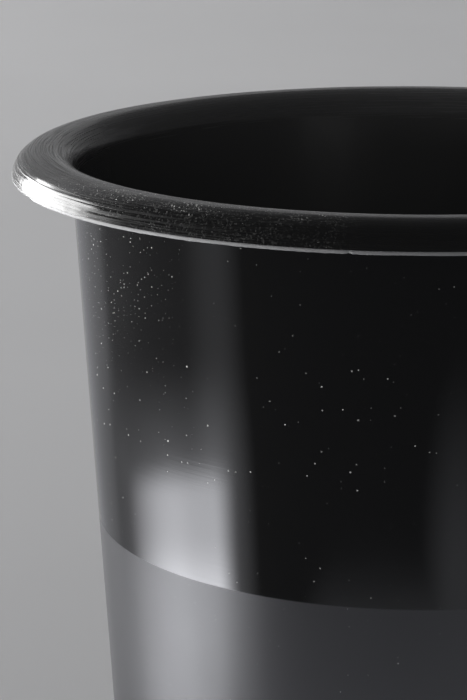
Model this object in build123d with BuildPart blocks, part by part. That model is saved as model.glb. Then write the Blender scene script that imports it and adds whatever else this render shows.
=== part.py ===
from build123d import *
from math import cos, radians, sin, tan
import os

# Florist bucket: one injection moulding in black polypropylene, a tapered round body with a rolled lip.
# Millimetres, +Z up. The origin is the centre of the foot ring, on the plane that the bucket stands on.

# ---- driving dimensions ----
height = 330.0            # foot to the crest of the lip
rim_diameter = 240.0      # over the edge of the lip
overhang = 17.6           # lip edge to the outer face of the body, at the lip's lower edge
draft = 3.525             # taper of the body, degrees from upright
wall = 1.6                # body and lip
lip_drop = 8.5            # crest of the lip to its lower edge
inner_roll = 8.4          # radius that turns the inside of the wall into the crest
crest_land = 1.5          # level top of the lip, between its two rolls
edge_band = 1.0           # height of the trimmed band round the lip's lower edge
edge_proud = 0.2          # how far that band stands out from the roll above it
floor_thickness = 2.2
floor_recess = 5.0        # underside of the floor above the standing plane
floor_corner = 7.0        # radius where the wall meets the floor, inside
foot_land = 2.4           # width of the ring that touches the ground
foot_corner = 0.8         # outer corner of the foot
foot_draft = 8.0          # inner side of the foot ring, degrees from upright
recess_corner = 1.5       # radius where the foot ring meets the underside of the floor
panel_diameter = 96.0     # raised middle panel of the floor
panel_step = 1.6          # how far the panel is raised
panel_slope = 6.0         # width of the sloping border of the panel
well_diameter = 14.0      # hollow in the underside that keeps the gate mark off the ground
well_depth = 0.9
gate_diameter = 3.2
gate_stub = 0.6           # what is left of the gate after it is snapped off

# ---- worked out from them ----
taper = tan(radians(draft))
rim_radius = rim_diameter / 2
lip_edge_z = height - lip_drop
panel_radius = panel_diameter / 2


def outer_radius(z):
    """Radius of the body's outer face at a height."""
    return rim_radius - overhang - taper * (lip_edge_z - z)


def inner_radius(z):
    """Radius of the body's inner face at a height; the wall is measured square to the face."""
    return outer_radius(z) - wall / cos(radians(draft))


# the inner roll of the lip touches the tapered wall and the level crest
roll_z = height - inner_roll
crest_in = inner_radius(roll_z) + inner_roll / cos(radians(draft))
under_roll = inner_roll - wall


def roll_touch(radius):
    """Point where a roll of this radius, centred under the crest, touches the tapered wall."""
    return (crest_in - radius * cos(radians(draft)), roll_z + radius * sin(radians(draft)))


# the outer roll is a quarter of an ellipse, from the crest down to the trimmed band
crest_out = crest_in + crest_land
roll_reach = rim_radius - edge_proud - crest_out
roll_drop = lip_drop - edge_band
roll_end_z = height - roll_drop
skirt_inside = crest_out + roll_reach - wall

floor_z = floor_recess + floor_thickness
foot_inside = outer_radius(0) - foot_land
recess_radius = foot_inside - floor_recess * tan(radians(foot_draft))

os.makedirs("parts", exist_ok=True)

with BuildPart() as bucket:
    # body, lip and floor: one closed outline, turned round the axis
    with BuildSketch(Plane.XZ):
        with BuildLine():
            # from the middle of the floor, up the inside of the wall, to the crest
            Polyline(
                (0, floor_z + panel_step),
                (panel_radius - panel_slope, floor_z + panel_step),
                (panel_radius, floor_z),
                (inner_radius(floor_z), floor_z),
                roll_touch(inner_roll),
            )
            CenterArc((crest_in, roll_z), inner_roll, 90, 90 - draft)
            Line((crest_in, height), (crest_out, height))
            # down the outer roll, round the trimmed band, and back under the lip
            EllipticalCenterArc((crest_out, roll_end_z), roll_reach, roll_drop, 0, arc_size=90)
            Polyline(
                (rim_radius - edge_proud, roll_end_z),
                (rim_radius, roll_end_z - edge_proud),
                (rim_radius, lip_edge_z),
                (skirt_inside, lip_edge_z),
                (skirt_inside, roll_end_z),
            )
            EllipticalCenterArc(
                (crest_out, roll_end_z), roll_reach - wall, roll_drop - wall, 0, arc_size=90
            )
            Line((crest_out, height - wall), (crest_in, height - wall))
            CenterArc((crest_in, roll_z), under_roll, 90, 90 - draft)
            # down the outside of the wall to the foot, and under the floor to the middle
            Polyline(
                roll_touch(under_roll),
                (outer_radius(0), 0),
                (foot_inside, 0),
                (recess_radius, floor_recess),
                (panel_radius, floor_recess),
                (panel_radius - panel_slope, floor_recess + panel_step),
                (0, floor_recess + panel_step),
                (0, floor_z + panel_step),
            )
        make_face()
    revolve(axis=Axis.Z)

    def rings(radius, z):
        """Round edges of the bucket that have this radius and height."""
        found = bucket.edges().filter_by(GeomType.CIRCLE)
        return found.filter_by(
            lambda edge: abs(edge.radius - radius) < 0.01 and abs(edge.arc_center.Z - z) < 0.01
        )

    # rounded corners of the floor and the foot
    fillet(rings(inner_radius(floor_z), floor_z), radius=floor_corner)
    fillet(rings(recess_radius, floor_recess), radius=recess_corner)
    fillet(rings(outer_radius(0), 0), radius=foot_corner)

    # gate mark: a stub in a shallow well in the middle of the underside
    well_top = floor_recess + panel_step + well_depth
    with BuildSketch(Plane.XY.offset(well_top)):
        Circle(well_diameter / 2)
    extrude(amount=-well_depth, mode=Mode.SUBTRACT)
    with BuildSketch(Plane.XY.offset(well_top)):
        Circle(gate_diameter / 2)
    extrude(amount=-gate_stub)
bucket.part.label = "bucket"
export_step(bucket.part, "parts/bucket.step")
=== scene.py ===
from math import cos, pi, radians, sin, tan

import bpy
import numpy as np
from mathutils import Matrix, Vector


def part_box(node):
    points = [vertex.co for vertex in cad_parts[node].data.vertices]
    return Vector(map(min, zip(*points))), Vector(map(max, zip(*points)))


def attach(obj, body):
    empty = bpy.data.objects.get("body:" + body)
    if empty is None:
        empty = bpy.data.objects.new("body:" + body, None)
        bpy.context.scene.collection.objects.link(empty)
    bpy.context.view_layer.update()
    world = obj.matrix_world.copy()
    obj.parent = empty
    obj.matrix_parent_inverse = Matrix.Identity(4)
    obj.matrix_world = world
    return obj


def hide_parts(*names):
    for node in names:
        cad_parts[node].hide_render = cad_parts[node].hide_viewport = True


# Florist bucket: the looks of one injection moulding in black polypropylene.
# Metres in the scene, millimetres in the shape numbers. +Z up, front towards -Y.

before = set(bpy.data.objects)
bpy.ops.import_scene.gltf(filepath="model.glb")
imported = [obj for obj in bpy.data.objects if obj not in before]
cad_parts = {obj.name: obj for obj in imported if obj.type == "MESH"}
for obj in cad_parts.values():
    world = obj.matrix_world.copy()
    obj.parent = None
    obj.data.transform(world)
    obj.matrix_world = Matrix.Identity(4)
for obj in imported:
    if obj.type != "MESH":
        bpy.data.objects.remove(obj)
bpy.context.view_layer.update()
low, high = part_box("bucket")
mm = 0.001
print("frame loaded", low, high)


# small helpers

def hexColour(code):
    # sRGB hex to the linear values that the shaders work in
    values = [int(code[i:i + 2], 16) / 255 for i in (1, 3, 5)]
    return [v / 12.92 if v <= 0.04045 else ((v + 0.055) / 1.055) ** 2.4 for v in values] + [1.0]


def addNode(tree, kind, inputs=(), **settings):
    # inputs are values or the sockets that feed them, in the node's own order or by key
    node = tree.nodes.new("ShaderNode" + kind)
    for key, value in settings.items():
        setattr(node, key, value)
    for key, value in inputs.items() if isinstance(inputs, dict) else enumerate(inputs):
        if isinstance(value, bpy.types.NodeSocket):
            tree.links.new(value, node.inputs[key])
        else:
            node.inputs[key].default_value = value
    return node


def faded(tree, amount, *fades):
    # the amount times smooth fades, each a driving value and its limits:
    # from low, from high, to low, to high
    for value, limits in fades:
        fade = addNode(tree, "MapRange", [value, *limits], interpolation_type="SMOOTHSTEP")
        amount = addNode(tree, "Math", [amount, fade.outputs[0]], operation="MULTIPLY").outputs[0]
    return amount


def newMaterial(name):
    material = bpy.data.materials.new(name)
    material.use_nodes = True
    material.node_tree.nodes.clear()
    return material, material.node_tree


def smoothStep(a, b, x):
    # 0 up to a and 1 from b, with three t squared less two t cubed between them
    t = np.clip((x - a) / (b - a), 0, 1)
    return t * t * (3 - 2 * t)


def ripple(angle, counts, seed):
    # a wobble round the circle: cosines of whole numbers of turns with seeded phases, about -1 to 1
    rng = np.random.default_rng(seed)
    phases = rng.uniform(0, 2 * pi, len(counts))
    weights = rng.uniform(0.5, 1.0, len(counts))
    total = sum(w * np.cos(n * angle + p) for n, p, w in zip(counts, phases, weights))
    return total / np.sum(weights)


# camera

view = {
    "place": (-0.054528, -0.797191, 0.468396),
    "pitch": 0.2477,         # radians down from level
    "roll": -0.0043,
    "lens": 139.73,          # on a 36 mm sensor
}
camData = bpy.data.cameras.new("camera")
camData.sensor_width = 36
camData.lens = view["lens"]
camData.dof.use_dof = False
camera = bpy.data.objects.new("camera", camData)
bpy.context.scene.collection.objects.link(camera)
camera.matrix_world = (Matrix.Translation(view["place"])
                       @ Matrix.Rotation(pi / 2 - view["pitch"], 4, "X")
                       @ Matrix.Rotation(view["roll"], 4, "Z"))
bpy.context.scene.camera = camera
bpy.context.scene.view_settings.view_transform = "Standard"
print("camera placed")


# bucket: its outline, turned round the axis

shape = {
    "overhang": 17.6,        # lip edge to the body
    "draft": 3.525,          # degrees
    "wall": 1.6,
    "lipDrop": 8.5,
    "innerRoll": 8.4,
    "crestLand": 1.5,
    "bandHeight": 1.0,       # trimmed band round the lip's edge
    "bandProud": 0.2,
    "bandFillets": (0.3, 0.22, 0.12, 0.1),    # inside bottom, outside bottom, outside top, root
    "floorThickness": 2.2,
    "floorRecess": 5.0,
    "floorCorner": 7.0,
    "footLand": 2.4,
    "footCorner": 0.8,
    "footInnerCorner": 0.4,
    "footDraft": 8.0,
    "recessCorner": 1.5,
    "panelRadius": 48.0,     # raised middle of the floor
    "panelStep": 1.6,
    "panelSlope": 6.0,
    "panelFillet": 3.0,
    "wellRadius": 7.0,       # gate mark under the floor
    "wellDepth": 0.9,
    "wellFillet": 0.3,
    "gateRadius": 1.6,
    "gateStub": 0.6,
    "gateFillet": 0.15,
    "poleRadius": 0.4,       # smallest ring, which a fan of triangles closes
    "columns": 400,
    "finCrowd": (1.2, -80, 20),    # extra columns at the fin: share, middle and width in degrees
    "nickCrowd": (9, 1.6),         # and at the nick: share and width
    "witnessZ": 217.6,       # height where the glossy upper body meets the satin lower body
    "witnessWidth": 0.7,
    "ringAngle": 55.0,       # ring line on the outer roll, degrees round from the crest
    "ringHeight": 0.10,
    "ringWidth": 0.14,
    "grooveDepth": 0.7,      # of the groove outside the ring line, as a share of its height
    "finFrom": -97.0,        # stretch of the trimmed edge with a thin fin of flash, degrees from the front
    "finTo": -68.5,
    "finOut": 0.3,
    "finLift": 0.55,
    "nickAt": -12.0,         # small nick in the trimmed edge
    "nickWidth": 0.28,       # degrees
    "nickIn": 0.2,
    "nickLift": 0.25,
    "unevenOut": 0.05,       # how far the trimmed edge wanders
    "unevenLift": 0.07,
    "edgeLift": 0.05,
    "edgeFadeUp": 6.5,       # how far up the roll the trimmed edge's changes fade out
    "edgeFadeIn": (5.5, 2.2),    # from the rim inwards, where they start and are whole
    "wobble": 0.03,          # depth of the long waves in the wall
    "wavesUp": (4, 30),      # heights where the waves start and are whole
    "wavesIn": (10, 18),     # the same from the rim inwards
    "waveHeight": 40,
    "beadZ": 319.6,          # faint bead where the flare meets the straight wall
    "beadHeight": 0.09,
    "beadWidth": 0.5,
}


def roundedRun(corners, spacing, arcSteps):
    # a path of straight runs through the corners (radius, height, fillet), each corner a tangent arc,
    # with the straights cut into steps no longer than the spacing
    pieces = []
    pts = np.array([c[:2] for c in corners], float)
    for i in range(len(corners)):
        fillet = corners[i][2]
        if 0 < i < len(corners) - 1 and fillet > 0:
            a = pts[i - 1] - pts[i]
            b = pts[i + 1] - pts[i]
            a, b = a / np.linalg.norm(a), b / np.linalg.norm(b)
            half = np.arccos(np.clip(a @ b, -1, 1)) / 2
            centre = pts[i] + (a + b) / np.linalg.norm(a + b) * fillet / np.sin(half)
            start = pts[i] + a * fillet / np.tan(half) - centre
            end = pts[i] + b * fillet / np.tan(half) - centre
            turn = np.arctan2(start[0] * end[1] - start[1] * end[0], start @ end)
            t = np.linspace(0, turn, arcSteps)[:, None]
            side = np.array([-start[1], start[0]])
            pieces.append(centre + np.cos(t) * start + np.sin(t) * side)
        else:
            pieces.append(pts[i][None])
    out = [pieces[0]]
    for before, after in zip(pieces[:-1], pieces[1:]):
        gap = np.linalg.norm(after[0] - before[-1])
        n = int(np.ceil(gap / spacing))
        t = np.linspace(0, 1, n + 1)[1:-1, None]
        out.append(before[-1] * (1 - t) + after[0] * t)
        out.append(after)
    return np.concatenate(out)


def arcRun(centre, across, up, degrees):
    # points of an ellipse's arc: the centre plus the half widths times cosine and sine of each angle
    a = np.radians(degrees)
    return np.stack([centre[0] + across * np.cos(a), centre[1] + up * np.sin(a)], 1)


def bucketOutline(s):
    # half of the bucket's section, from the middle of the underside out, up, over the lip and down inside
    height = (high.z - low.z) / mm
    rim = high.x / mm
    taper = tan(radians(s["draft"]))
    c, sn = cos(radians(s["draft"])), sin(radians(s["draft"]))
    edgeZ = height - s["lipDrop"]

    def outer(z):
        return rim - s["overhang"] - taper * (edgeZ - z)

    def inner(z):
        return outer(z) - s["wall"] / c

    rollZ = height - s["innerRoll"]
    crestIn = inner(rollZ) + s["innerRoll"] / c
    underRoll = s["innerRoll"] - s["wall"]
    crestOut = crestIn + s["crestLand"]
    reach = rim - s["bandProud"] - crestOut
    drop = s["lipDrop"] - s["bandHeight"]
    rollEnd = height - drop
    skirt = crestOut + reach - s["wall"]
    recessZ = s["floorRecess"]
    floorZ = recessZ + s["floorThickness"]
    footIn = outer(0) - s["footLand"]
    recess = footIn - recessZ * tan(radians(s["footDraft"]))
    wellTop = recessZ + s["panelStep"] + s["wellDepth"]
    stubZ = wellTop - s["gateStub"]
    floorTop = floorZ + s["panelStep"]
    panelIn = s["panelRadius"] - s["panelSlope"]
    footTop = s["footCorner"] + 1.5

    under = roundedRun([
        (s["poleRadius"], stubZ, 0),
        (s["gateRadius"], stubZ, s["gateFillet"]),
        (s["gateRadius"], wellTop, s["gateFillet"]),
        (s["wellRadius"], wellTop, s["wellFillet"]),
        (s["wellRadius"], recessZ + s["panelStep"], s["wellFillet"]),
        (panelIn, recessZ + s["panelStep"], s["panelFillet"]),
        (s["panelRadius"], recessZ, s["panelFillet"]),
        (recess, recessZ, s["recessCorner"]),
        (footIn, 0, s["footInnerCorner"]),
        (outer(0), 0, s["footCorner"]),
        (outer(footTop), footTop, 0),
    ], 14.0, 5)

    # the wall has closer rows at the witness line
    touchZ = rollZ + underRoll * sn
    z = np.concatenate([np.linspace(6, 208, 13), s["witnessZ"] + np.array([-3, -1, 0, 1, 3]),
                        np.linspace(230, touchZ - 5, 9)])
    wallOut = np.stack([outer(z), z], 1)
    underArc = arcRun((crestIn, rollZ), underRoll, underRoll, np.linspace(180 - s["draft"], 92, 12))
    skirtArc = arcRun((crestOut, rollEnd), reach - s["wall"], drop - s["wall"], np.linspace(90, 4, 14))

    insideBottom, outsideBottom, outsideTop, root = s["bandFillets"]
    rollStart = radians(2)
    band = roundedRun([
        (skirt, rollEnd - 0.1, 0),
        (skirt, edgeZ, insideBottom),
        (rim, edgeZ, outsideBottom),
        (rim, rollEnd - s["bandProud"], outsideTop),
        (rim - s["bandProud"], rollEnd + 0.02, root),
        (crestOut + reach * cos(rollStart), rollEnd + drop * sin(rollStart), 0),
    ], 0.35, 5)

    # the outer roll has closer rows across the ring line
    steps = np.concatenate([np.linspace(3.5, 32, 24), np.linspace(33, 38, 12), np.linspace(39.5, 86, 22)])
    topArc = arcRun((crestOut, rollEnd), reach, drop, steps)
    land = np.stack([np.linspace(crestOut, crestIn, 4), np.full(4, height)], 1)
    innerArc = arcRun((crestIn, rollZ), s["innerRoll"], s["innerRoll"],
                      np.linspace(94, 180 - s["draft"], 22))
    inside = roundedRun([
        (inner(rollZ - 2), rollZ - 2, 0),
        (inner(floorZ), floorZ, s["floorCorner"]),
        (s["panelRadius"], floorZ, s["panelFillet"]),
        (panelIn, floorTop, s["panelFillet"]),
        (s["poleRadius"], floorTop, 0),
    ], 13.0, 7)

    parts = [under, wallOut, underArc, skirtArc, band, topArc, land, innerArc, inside]
    path = np.concatenate(parts)
    zone = np.concatenate([np.full(len(p), i) for i, p in enumerate(parts)])
    arc = np.concatenate([[0], np.cumsum(np.linalg.norm(np.diff(path, axis=0), axis=1))])
    crest = len(path) - len(inside) - len(innerArc) - 2
    return path, zone, arc - arc[crest], {"edgeZ": edgeZ, "rim": rim, "rollEnd": rollEnd, "height": height,
                                          "crestOut": crestOut, "reach": reach, "floorTop": floorTop,
                                          "stubZ": stubZ}


def bucketShell(s):
    # radius and height as arrays, one row for each point of the outline and one column for each angle;
    # each detail is a bell or a smooth step in angle, radius or height, added to them
    path, zone, arc, at = bucketOutline(s)
    bandZone, rollZone, innerZone = 4, 5, 7

    # columns crowd together where the edge has its fin and its nick
    t = np.linspace(-pi, pi, 4001)
    finShare, finMiddle, finWidth = s["finCrowd"]
    nickShare, nickWidth = s["nickCrowd"]
    crowd = (1 + finShare * np.exp(-((np.degrees(t) - finMiddle) / finWidth) ** 2)
             + nickShare * np.exp(-((np.degrees(t) - s["nickAt"]) / nickWidth) ** 2))
    total = np.concatenate([[0], np.cumsum((crowd[1:] + crowd[:-1]) / 2)])
    angle = np.interp(np.linspace(0, total[-1], s["columns"] + 1)[:-1], total, t)[None, :]
    degrees = np.degrees(angle)
    r = np.repeat(path[:, :1], s["columns"], 1)
    z = np.repeat(path[:, 1:], s["columns"], 1)
    zone = zone[:, None]

    # the trimmed edge: a little uneven all round, a fin of flash at the left, a nick near the front
    rim, rollEnd = at["rim"], at["rollEnd"]
    start, whole = s["edgeFadeIn"]
    nearEdge = (smoothStep(rollEnd + s["edgeFadeUp"], rollEnd - 0.1, z)
                * smoothStep(rim - start, rim - whole, r))
    lower = smoothStep(rollEnd - 0.1, at["edgeZ"] + 0.1, z) * smoothStep(rim - 3, rim - 1, r)
    fin = (smoothStep(s["finFrom"] - 4, s["finFrom"] + 4, degrees)
           * smoothStep(s["finTo"] + 0.6, s["finTo"] - 0.6, degrees))
    uneven = ripple(angle, [23, 41, 67, 97, 139], 3) + 0.6 * ripple(angle, [181, 223, 307], 4)
    nick = np.exp(-((degrees - s["nickAt"]) / s["nickWidth"]) ** 2)
    r += nearEdge * (-s["finOut"] + s["finOut"] * fin + s["unevenOut"] * uneven - s["nickIn"] * nick)
    z += lower * (s["finLift"] * fin + s["unevenLift"] * np.roll(uneven, 7) + s["edgeLift"]
                  + s["nickLift"] * nick)

    # ring line on the outer roll: a low ridge with a groove outside it, a few tenths of a millimetre wide
    ringTurn = radians(s["ringAngle"])
    d = (r - at["crestOut"] - at["reach"] * sin(ringTurn)) / s["ringWidth"]
    ring = (zone == rollZone) * (np.exp(-d ** 2) - s["grooveDepth"] * np.exp(-((d - 2.0) / 1.1) ** 2))
    ring = ring * s["ringHeight"] * (0.75 + 0.25 * ripple(angle, [5, 9, 14], 6))
    r += ring * sin(ringTurn)
    z += ring * cos(ringTurn)

    # a faint bead inside, where the flare of the lip meets the straight wall
    r -= (zone >= innerZone) * np.exp(-((z - s["beadZ"]) / s["beadWidth"]) ** 2) * s["beadHeight"]

    # long shallow waves in the wall, as a thin moulding has
    start, whole = s["wavesIn"]
    body = smoothStep(*s["wavesUp"], z) * smoothStep(rim - start, rim - whole, r) * (zone != 0)
    waves = (ripple(angle, [3, 5, 8, 13, 21], 8)
             + 0.5 * ripple(angle, [34, 47], 9) * np.sin(z / s["waveHeight"]))
    r += body * s["wobble"] * waves
    r = np.minimum(r, rim)
    z = np.clip(z, 0, at["height"])

    rows, columns = r.shape
    points = np.stack([r * np.sin(angle), -r * np.cos(angle), z], -1).reshape(-1, 3)
    poles = np.array([[0, 0, at["stubZ"]], [0, 0, at["floorTop"]]])
    points = np.concatenate([points, poles]) * mm
    i, j = np.meshgrid(np.arange(rows - 1), np.arange(columns), indexing="ij")
    k = (j + 1) % columns
    quads = np.stack([i * columns + j, i * columns + k, (i + 1) * columns + k, (i + 1) * columns + j], -1)
    j = np.arange(columns)
    k = (j + 1) % columns
    first = np.stack([np.full(columns, rows * columns), k, j], -1)
    last = np.stack([np.full(columns, rows * columns + 1), (rows - 1) * columns + j,
                     (rows - 1) * columns + k], -1)
    mesh = bpy.data.meshes.new("bucketShell")
    mesh.from_pydata(points.tolist(), [], quads.reshape(-1, 4).tolist() + first.tolist() + last.tolist())
    mesh.update()

    # where each point lies: length along the outline from the crest in millimetres, and which part it is
    zoneRow = zone[:, 0]
    marks = {
        "arc": arc,
        "onOutside": zoneRow <= 1,
        "onLip": (zoneRow >= bandZone) & (zoneRow <= innerZone),
        "onInside": zoneRow >= innerZone,
        "onBand": (zoneRow == bandZone) & (path[:, 0] > rim - 0.6) & (path[:, 1] < rollEnd + 0.01),
    }
    for name, values in marks.items():
        flat = np.repeat(values, columns)
        layer = mesh.attributes.new(name, "FLOAT", "POINT")
        layer.data.foreach_set("value", np.concatenate([flat, flat[[0, -1]]]).astype(np.float32))
    mesh.polygons.foreach_set("use_smooth", np.ones(len(mesh.polygons), bool))
    shell = bpy.data.objects.new("bucketShell", mesh)
    bpy.context.scene.collection.objects.link(shell)
    return shell


shell = bucketShell(shape)
print("bucket shell", len(shell.data.vertices), "vertices", len(shell.data.polygons), "faces")


# polypropylene

plastic = {
    "black": "#0b0b0b",
    "satin": "#262628",
    # inside: painted fill light, the same black plastic made paler where little light reaches
    "inside": "#3a3a3a",
    "cut": "#8e8e8f",
    "dust": "#d2d2cf",
    "ior": 1.49,
    "glossyRough": 0.07,
    "satinRough": 0.38,
    "lipRough": 0.10,
    "insideRough": 0.20,
    "cutRough": 0.42,
    "dustRough": 0.8,

    # turning rings, changes to the millimetre along the outline, changes round the circle, detail:
    # 0.9, 0.4 and 0.2 mm wide, the finest of them coarser than a real cutter's so that they show
    "coarseRings": (1.1, 2.5, 1.0),
    "middleRings": (2.3, 4.0, 1.0),
    "fineRings": (4.5, 7.0, 3.0),
    "ringShares": (0.35, 0.30, 0.24),
    "fineRough": (0.3, 0.7, -0.02, 0.08),
    "middleRough": (0.38, 0.66, 0.0, 0.20),
    "reliefDepth": 0.00006,
    "reliefOffLip": (0.0, 1.0, 0.06, 1.0),
    "reliefDown": (-8.0, -2.0, 1.1, 0.5),     # deeper on the outer roll than at the crest

    # faint ripple of the body, 17 mm across, and smears in its gloss, 70 mm across
    "peelScale": 60.0,
    "peelShare": 0.15,
    "smearScale": 14.0,
    "glossSmear": (0.35, 0.75, 0.0, 0.05),
    "satinSmear": (0.3, 0.7, -0.02, 0.02),

    # dust grains: cells to the metre and the widest grain's radius as a share of a cell. Real dust is
    # finer than a tenth of a millimetre, so these are up to 0.7 mm across, to show
    "lipGrains": ((1500.0, 0.42), (560.0, 0.205)),
    "bodyGrains": (520.0, 0.135),
    "sideGrains": (1000.0, 0.19),
    "grainTone": (0.0, 1.0, 0.25, 1.0),
    "powderScale": 2600.0,
    "powderAmount": 0.22,

    # where the dust lies: directions from the axis, patches 13 and 45 mm across, and limits of the fades
    "frontWay": (-0.629, -0.777, 0),
    "sideWay": (-0.848, -0.53, 0),
    "patchScale": 75.0,
    "wideScale": 22.0,
    "lipRound": (0.87, 0.93, 0.02, 1.0),
    "lipPatches": (0.36, 0.53, 0.45, 1.05),
    "lipDown": (-10.0, -2.5, 0.35, 1.15),
    "bodyRound": (0.4, 0.9, 0.5, 1.1),
    "bodyPatches": (0.38, 0.6, 0.45, 1.0),
    "bodyUp": (0.17, 0.29, 0.5, 1.1),
    "sideRound": (0.93, 0.985, 0.0, 1.0),
    "sideUp": (0.25, 0.295, 0.0, 1.0),
}


def polypropylene(p):
    # moulded polypropylene: deep black, mirror-like where the mould was polished and satin where it was
    # blasted, with the turning marks of the mould on the lip, a paler cut edge and specks of dust
    material, tree = newMaterial("moulded polypropylene")
    place = addNode(tree, "TexCoord").outputs["Object"]
    x, y, z = addNode(tree, "SeparateXYZ", [place]).outputs
    flat = addNode(tree, "CombineXYZ", [x, y]).outputs[0]
    unit = addNode(tree, "VectorMath", [flat], operation="NORMALIZE").outputs[0]
    arc, outside, lip, inside, band = [addNode(tree, "Attribute", attribute_name=name).outputs["Fac"]
                                       for name in ("arc", "onOutside", "onLip", "onInside", "onBand")]

    # rings round the axis: noise that changes fast along the outline and slowly round the circle
    def rings(along, around, detail):
        rise = addNode(tree, "Math", [arc, along], operation="MULTIPLY").outputs[0]
        lifted = addNode(tree, "CombineXYZ", {2: rise}).outputs[0]
        spot = addNode(tree, "VectorMath", [unit, (around, around, 0), lifted], operation="MULTIPLY_ADD")
        noise = addNode(tree, "TexNoise", {"Vector": spot.outputs[0], "Scale": 1.0, "Detail": detail})
        return noise.outputs[0]

    coarse, middle, fine = [rings(*p[name]) for name in ("coarseRings", "middleRings", "fineRings")]

    # satin below the witness line, on the outside only
    line, half = shape["witnessZ"], shape["witnessWidth"] / 2
    satin = faded(tree, outside, (z, ((line - half) * mm, (line + half) * mm, 1, 0)))

    # grains of dust: spots in the middle of scattered cells, each with its own size and tone
    def grains(scale, widest, amount):
        cells = addNode(tree, "TexVoronoi", {"Vector": place, "Scale": scale})
        sizePick, _, tonePick = addNode(tree, "SeparateColor", [cells.outputs["Color"]]).outputs
        size = addNode(tree, "Math", [sizePick, 2.0], operation="POWER").outputs[0]
        for factor in (widest, amount):
            size = addNode(tree, "Math", [size, factor], operation="MULTIPLY").outputs[0]
        there = addNode(tree, "Math", [cells.outputs["Distance"], size], operation="LESS_THAN").outputs[0]
        return faded(tree, there, (tonePick, p["grainTone"]))

    patch = addNode(tree, "TexNoise", {"Vector": place, "Scale": p["patchScale"], "Detail": 2.0}).outputs[0]
    wide = addNode(tree, "TexNoise", {"Vector": place, "Scale": p["wideScale"], "Detail": 1.0}).outputs[0]
    front = addNode(tree, "VectorMath", [unit, p["frontWay"]], operation="DOT_PRODUCT").outputs[1]
    side = addNode(tree, "VectorMath", [unit, p["sideWay"]], operation="DOT_PRODUCT").outputs[1]
    onLip = faded(tree, lip, (front, p["lipRound"]), (patch, p["lipPatches"]), (arc, p["lipDown"]))
    onBody = faded(tree, outside, (front, p["bodyRound"]), (wide, p["bodyPatches"]), (z, p["bodyUp"]))
    onSide = faded(tree, outside, (side, p["sideRound"]), (z, p["sideUp"]))

    # powder too fine to see grain by grain, drawn as faint specks 0.4 mm apart
    specks = addNode(tree, "TexVoronoi", {"Vector": place, "Scale": p["powderScale"]}).outputs["Color"]
    powder = addNode(tree, "SeparateColor", [specks]).outputs[1]
    powder = addNode(tree, "Math", [powder, 7.0], operation="POWER").outputs[0]
    for factor in (onLip, p["powderAmount"]):
        powder = addNode(tree, "Math", [powder, factor], operation="MULTIPLY").outputs[0]

    dust = powder
    layers = [(*size, onLip) for size in p["lipGrains"]]
    for layer in layers + [(*p["bodyGrains"], onBody), (*p["sideGrains"], onSide)]:
        dust = addNode(tree, "Math", [dust, grains(*layer)], operation="MAXIMUM").outputs[0]

    # colours, each laid over the ones before it; the inside's pale grey is painted fill light, the same black
    # plastic made paler to stand in for light that hardly reaches into the bucket
    base = hexColour(p["black"])
    for mask, colour in ((inside, "inside"), (satin, "satin"), (band, "cut"), (dust, "dust")):
        over = hexColour(p[colour])
        base = addNode(tree, "Mix", {0: mask, 6: base, 7: over}, data_type="RGBA").outputs[2]

    # roughness, laid over in the same way
    smear = addNode(tree, "TexNoise", {"Vector": place, "Scale": p["smearScale"], "Detail": 3.0}).outputs[0]
    rubbed = {}
    for name, source, limits in (("glossyRough", smear, "glossSmear"), ("satinRough", smear, "satinSmear"),
                                 ("lipRough", fine, "fineRough")):
        change = faded(tree, 1.0, (source, p[limits]))
        rubbed[name] = addNode(tree, "Math", [p[name], change], operation="ADD").outputs[0]
    turned = faded(tree, 1.0, (middle, p["middleRough"]))
    rubbed["lipRough"] = addNode(tree, "Math", [rubbed["lipRough"], turned], operation="ADD").outputs[0]
    rough = rubbed["glossyRough"]
    for mask, over in ((satin, rubbed["satinRough"]), (inside, p["insideRough"]), (lip, rubbed["lipRough"]),
                       (band, p["cutRough"]), (dust, p["dustRough"])):
        rough = addNode(tree, "Mix", {0: mask, 2: rough, 3: over}, data_type="FLOAT").outputs[0]

    # relief: turning marks on the lip, hardly any elsewhere, and a faint ripple on the body
    relief = 0.0
    for source, share in zip((coarse, middle, fine), p["ringShares"]):
        relief = addNode(tree, "Math", [source, share, relief], operation="MULTIPLY_ADD").outputs[0]
    relief = faded(tree, relief, (lip, p["reliefOffLip"]), (arc, p["reliefDown"]))
    peel = addNode(tree, "TexNoise", {"Vector": place, "Scale": p["peelScale"], "Detail": 1.0}).outputs[0]
    relief = addNode(tree, "Math", [peel, p["peelShare"], relief], operation="MULTIPLY_ADD").outputs[0]
    bump = addNode(tree, "Bump", {"Strength": 1.0, "Distance": p["reliefDepth"], "Height": relief})

    shader = addNode(tree, "BsdfPrincipled", {"Base Color": base, "Roughness": rough, "Normal": bump.outputs[0],
                                              "IOR": p["ior"], "Metallic": 0.0})
    addNode(tree, "OutputMaterial", {"Surface": shader.outputs[0]})
    return material


shell.data.materials.append(polypropylene(plastic))
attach(shell, "root")
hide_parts("bucket")
print("polypropylene done")


# stage: a round pale sweep, so every side has the same seamless background

stage = {
    "nearRadii": (0.002, 0.1, 0.42),
    "farRadii": (0.6, 1.2, 2.2),
    "coveStart": 3.1,
    "coveRadius": 1.1,
    "wallTop": 2.4,
    "backHalf": 115,         # degrees from the front where the part that the bucket mirrors begins
    "pale": "#cfcfd0",
    "rough": 0.75,
    "mottle": (0.3, 0.7, 0.985, 1.015),
    "unlit": 0.105,          # what the dark studio and the cards give back where no light falls
    "cardRadius": 0.42,
    "cardTop": 0.235,
}


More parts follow.
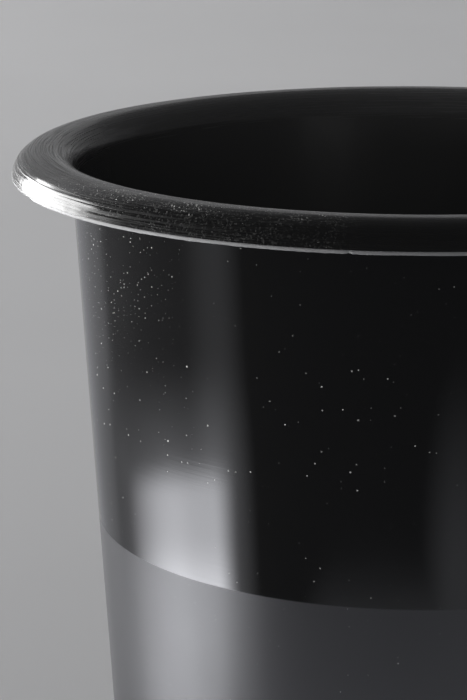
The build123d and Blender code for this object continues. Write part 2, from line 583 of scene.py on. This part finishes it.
def paleSweep(p):
    # matt painted board: even pale grey with a very faint mottle half a metre across and no mirror part
    material, tree = newMaterial("matt painted board")
    place = addNode(tree, "TexCoord").outputs["Object"]
    mottle = addNode(tree, "TexNoise", {"Vector": place, "Scale": 2.0, "Detail": 2.0}).outputs[0]
    tone = addNode(tree, "MapRange", [mottle, *p["mottle"]]).outputs[0]
    colour = addNode(tree, "VectorMath", {0: hexColour(p["pale"])[:3], "Scale": tone}, operation="SCALE")
    shader = addNode(tree, "BsdfPrincipled", {"Base Color": colour.outputs[0], "Roughness": p["rough"],
                                              "Specular IOR Level": 0.0})
    addNode(tree, "OutputMaterial", {"Surface": shader.outputs[0]})
    return material


def sweepMesh(name, radii, heights, start, end, columns, material):
    # rings of the given radii and heights, turned from one angle to another, in degrees from the front
    angle = np.radians(np.linspace(start, end, columns))[None, :]
    r, z = np.array(radii)[:, None], np.array(heights)[:, None]
    points = np.stack([r * np.sin(angle), -r * np.cos(angle), z + 0 * angle], -1).reshape(-1, 3)
    i, j = np.meshgrid(np.arange(len(radii) - 1), np.arange(columns - 1), indexing="ij")
    quads = np.stack([i * columns + j, (i + 1) * columns + j, (i + 1) * columns + j + 1,
                      i * columns + j + 1], -1)
    mesh = bpy.data.meshes.new(name)
    mesh.from_pydata(points.tolist(), [], quads.reshape(-1, 4).tolist())
    mesh.polygons.foreach_set("use_smooth", np.ones(len(mesh.polygons), bool))
    mesh.materials.append(material)
    piece = bpy.data.objects.new(name, mesh)
    bpy.context.scene.collection.objects.link(piece)
    return piece


sweepMaterial = paleSweep(stage)
sweepMesh("nearFloor", stage["nearRadii"], [0, 0, 0], -180, 180, 145, sweepMaterial)
coveTurn = np.radians(np.linspace(0, 90, 13))
coveR = stage["coveStart"] + stage["coveRadius"] * np.sin(coveTurn)
coveZ = stage["coveRadius"] * (1 - np.cos(coveTurn))
farRadii = np.concatenate([stage["nearRadii"][-1:], stage["farRadii"], coveR, [coveR[-1]]])
farHeights = np.concatenate([np.full(4, 0), coveZ, [stage["wallTop"]]])
# the back half is what the bucket mirrors; in front of it the studio is dark, so that part isn't mirrored
turn = stage["backHalf"]
sweepMesh("backSweep", farRadii, farHeights, turn, 360 - turn, 53, sweepMaterial)
frontSweep = sweepMesh("frontSweep", farRadii, farHeights, -turn, turn, 93, sweepMaterial)
frontSweep.visible_glossy = False

# glowing cards, not lamps, that only the reflections in the bucket see: painted light for the bucket to mirror

# each fade is a set of limits: from low, from high, to low, to high, over degrees round or metres up
leftValues = {
    "back": (-65, -54, 0, 0.45),
    "dimRound": ((-130, -112, 0, 1), (-56, -65, 0, 1)),
    "dimUp": (0.105, 0.170, 0.5, 0.18),
    "streakRound": ((-129, -115, 0, 1), (-116, -100, 1, 0)),
    "streakUp": (0.10, 0.17, 1.1, 0.4),
    "panelRound": ((-120, -109.5, 0, 1), (-97, -63, 1, 0)),
    "panelUp": (0.102, 0.119, 6.5, 0),
    "haloUp": (0.11, 0.165, 0.8, 0),
    "footUp": (0.040, 0.085, 2.2, 1),
    "lean": 0.00012,         # slope of the panel's top edge, metres to the degree
    "leanFrom": 104,
    "tint": "#f8f9ff",
    "ends": (-152, -48),     # degrees from the front
}


def leftGlow(p):
    # glowing card standing in for a white card lit from one side: the light is painted into its glow, bright
    # low down, dim above, fading out at both ends
    material, tree = newMaterial("card glowing with painted side light")
    place = addNode(tree, "TexCoord").outputs["Object"]
    x, y, z = addNode(tree, "SeparateXYZ", [place]).outputs
    turn = addNode(tree, "Math", [x, y], operation="ARCTAN2").outputs[0]    # round from the back
    turn = addNode(tree, "Math", [turn, 180 / pi], operation="MULTIPLY").outputs[0]
    lean = addNode(tree, "Math", [turn, p["leanFrom"]], operation="ADD").outputs[0]
    edge = addNode(tree, "Math", [lean, p["lean"], z], operation="MULTIPLY_ADD").outputs[0]

    panel, halo = [faded(tree, 1.0, (edge, p[name])) for name in ("panelUp", "haloUp")]
    panel = addNode(tree, "Math", [panel, halo], operation="ADD").outputs[0]
    panel = faded(tree, panel, *[(turn, limits) for limits in p["panelRound"]], (z, p["footUp"]))
    dim = faded(tree, 1.0, *[(turn, limits) for limits in p["dimRound"]], (z, p["dimUp"]))
    streak = faded(tree, 1.0, *[(turn, limits) for limits in p["streakRound"]], (z, p["streakUp"]))
    power = faded(tree, 1.0, (turn, p["back"]))
    for part in (dim, streak, panel):
        power = addNode(tree, "Math", [power, part], operation="ADD").outputs[0]
    power = addNode(tree, "Math", [power, stage["unlit"]], operation="MAXIMUM").outputs[0]
    light = addNode(tree, "Emission", {"Color": hexColour(p["tint"]), "Strength": power})
    addNode(tree, "OutputMaterial", {"Surface": light.outputs[0]})
    return material


frontValues = {
    "glowRound": ((-5.5, 10, 0, 1), (20, 62, 1, 0)),
    "glowUp": (0.07, 0.175, 0.6, stage["unlit"]),
    "skirtRound": (-46, -26, 0, 1),
    "skirtUp": (0.02, 0.085, 0.75, stage["unlit"]),
    "sideRound": (70, 118, stage["unlit"], 0.3),
    "tint": "#f5f7ff",
    "ends": (-48, 118),
}


def frontGlow(p):
    # the same white card, further off and unlit: a faint glow low down in front, dark at its top,
    # a second glowing card, further off: its glow is painted light, faint low down in front, dark at its top,
    # brightening again at the right to stand in for the lit sweep
    material, tree = newMaterial("far card glowing with painted light")
    place = addNode(tree, "TexCoord").outputs["Object"]
    x, y, z = addNode(tree, "SeparateXYZ", [place]).outputs
    ahead = addNode(tree, "Math", [y, -1.0], operation="MULTIPLY").outputs[0]
    turn = addNode(tree, "Math", [x, ahead], operation="ARCTAN2").outputs[0]    # round from the front
    turn = addNode(tree, "Math", [turn, 180 / pi], operation="MULTIPLY").outputs[0]

    glow = faded(tree, 1.0, *[(turn, limits) for limits in p["glowRound"]], (z, p["glowUp"]))
    skirt = faded(tree, 1.0, (turn, p["skirtRound"]), (z, p["skirtUp"]))
    side = faded(tree, 1.0, (turn, p["sideRound"]))
    power = stage["unlit"]
    for part in (glow, skirt, side):
        power = addNode(tree, "Math", [power, part], operation="MAXIMUM").outputs[0]
    light = addNode(tree, "Emission", {"Color": hexColour(p["tint"]), "Strength": power})
    addNode(tree, "OutputMaterial", {"Surface": light.outputs[0]})
    return material


tableValues = {
    "fade": (0.35, 0.43, 1.2, stage["unlit"]),
    "tint": "#f0f3ff",
    "ends": (-60, 60),
    "radii": (0.14, 0.3, 0.418),
    "lift": 0.0004,          # clear of the floor
}


def tableGlow(p):
    # a glowing card lying on the floor in front: a painted pool of light, bright near the bucket and fading
    # outwards
    material, tree = newMaterial("low card glowing with a painted pool of light")
    place = addNode(tree, "TexCoord").outputs["Object"]
    out = addNode(tree, "VectorMath", [place], operation="LENGTH").outputs[1]
    light = addNode(tree, "Emission", {"Color": hexColour(p["tint"]),
                                       "Strength": faded(tree, 1.0, (out, p["fade"]))})
    addNode(tree, "OutputMaterial", {"Surface": light.outputs[0]})
    return material


cardRadii = [stage["cardRadius"]] * 3
cardHeights = [0.0005, 0.1, stage["cardTop"]]
cards = [
    sweepMesh("glowingLeftCard", cardRadii, cardHeights, *leftValues["ends"], 53, leftGlow(leftValues)),
    sweepMesh("frontCard", cardRadii, cardHeights, *frontValues["ends"], 57, frontGlow(frontValues)),
    sweepMesh("tableCard", tableValues["radii"], [tableValues["lift"]] * 3, *tableValues["ends"], 25,
              tableGlow(tableValues)),
]
for card in cards:
    for ray in ("camera", "diffuse", "shadow", "transmission", "volume_scatter"):
        setattr(card, "visible_" + ray, False)
print("stage done")


# light

def softbox(name, place, aim, width, height, radiance, glossy=True, diffuse=True):
    # a rectangle of even light; the energy that gives a wanted radiance is 4 times radiance times area
    data = bpy.data.lights.new(name, "AREA")
    data.shape = "RECTANGLE"
    data.size, data.size_y = width, height
    data.energy = 4 * radiance * width * height
    lamp = bpy.data.objects.new(name, data)
    bpy.context.scene.collection.objects.link(lamp)
    direction = Vector(aim) - Vector(place)
    lamp.matrix_world = Matrix.Translation(place) @ direction.to_track_quat("-Z", "Y").to_matrix().to_4x4()
    lamp.visible_camera = False
    lamp.visible_glossy = glossy
    lamp.visible_diffuse = diffuse
    return lamp


softbox("overheadFill", place=(-1.45, 2.55, 2.9), aim=(-1.1, 2.3, 0), width=3.0, height=3.0,
        radiance=1.97, glossy=False)
upperLeft = softbox("upperLeft", place=(-1.05, 0.657, 0.36), aim=(-0.1, -0.06, 0.32),
                    width=0.87, height=0.92, radiance=8.0, diffuse=False)
softbox("upperLeftSpill", place=(-1.05, 0.657, 0.75), aim=(-0.1, -0.06, 0.32), width=0.8, height=0.6,
        radiance=1.2, glossy=False)
leftPanel = softbox("leftPanel", place=(-0.492, -0.087, 0.25), aim=(-0.05, -0.06, 0.31),
                    width=0.3, height=0.3, radiance=8.0, glossy=False)
softbox("frontFill", place=(0.2, -2.3, 1.1), aim=(0, 0, 0.25), width=1.8, height=1.4,
        radiance=0.5, glossy=False)

# both panels at the left are flagged, so their light falls on the bucket only and not on the floor
onlyBucket = bpy.data.collections.new("onlyBucket")
onlyBucket.objects.link(shell)
for lamp in (upperLeft, leftPanel):
    lamp.light_linking.receiver_collection = onlyBucket

# the dark studio round it, with a soft glow high at the left
glow = {"bright": 1.15, "fall": 18.0, "turn": -35.0, "up": 15.0, "tint": "#fbfbff"}
world = bpy.data.worlds.new("dark studio")
world.use_nodes = True
tree = world.node_tree
tree.nodes.clear()
turn, up = radians(glow["turn"]), radians(glow["up"])
towards = (cos(up) * sin(turn), cos(up) * cos(turn), sin(up))
way = addNode(tree, "TexCoord").outputs["Generated"]
near = addNode(tree, "VectorMath", [way, towards], operation="DOT_PRODUCT").outputs[1]
near = addNode(tree, "Math", [near, 0.0], operation="MAXIMUM").outputs[0]
near = addNode(tree, "Math", [near, glow["fall"]], operation="POWER").outputs[0]
near = addNode(tree, "Math", [near, glow["bright"], stage["unlit"]], operation="MULTIPLY_ADD").outputs[0]
sky = addNode(tree, "Background", {"Color": hexColour(glow["tint"]), "Strength": near})
addNode(tree, "OutputWorld", {"Surface": sky.outputs[0]})
bpy.context.scene.world = world
print("lights done")
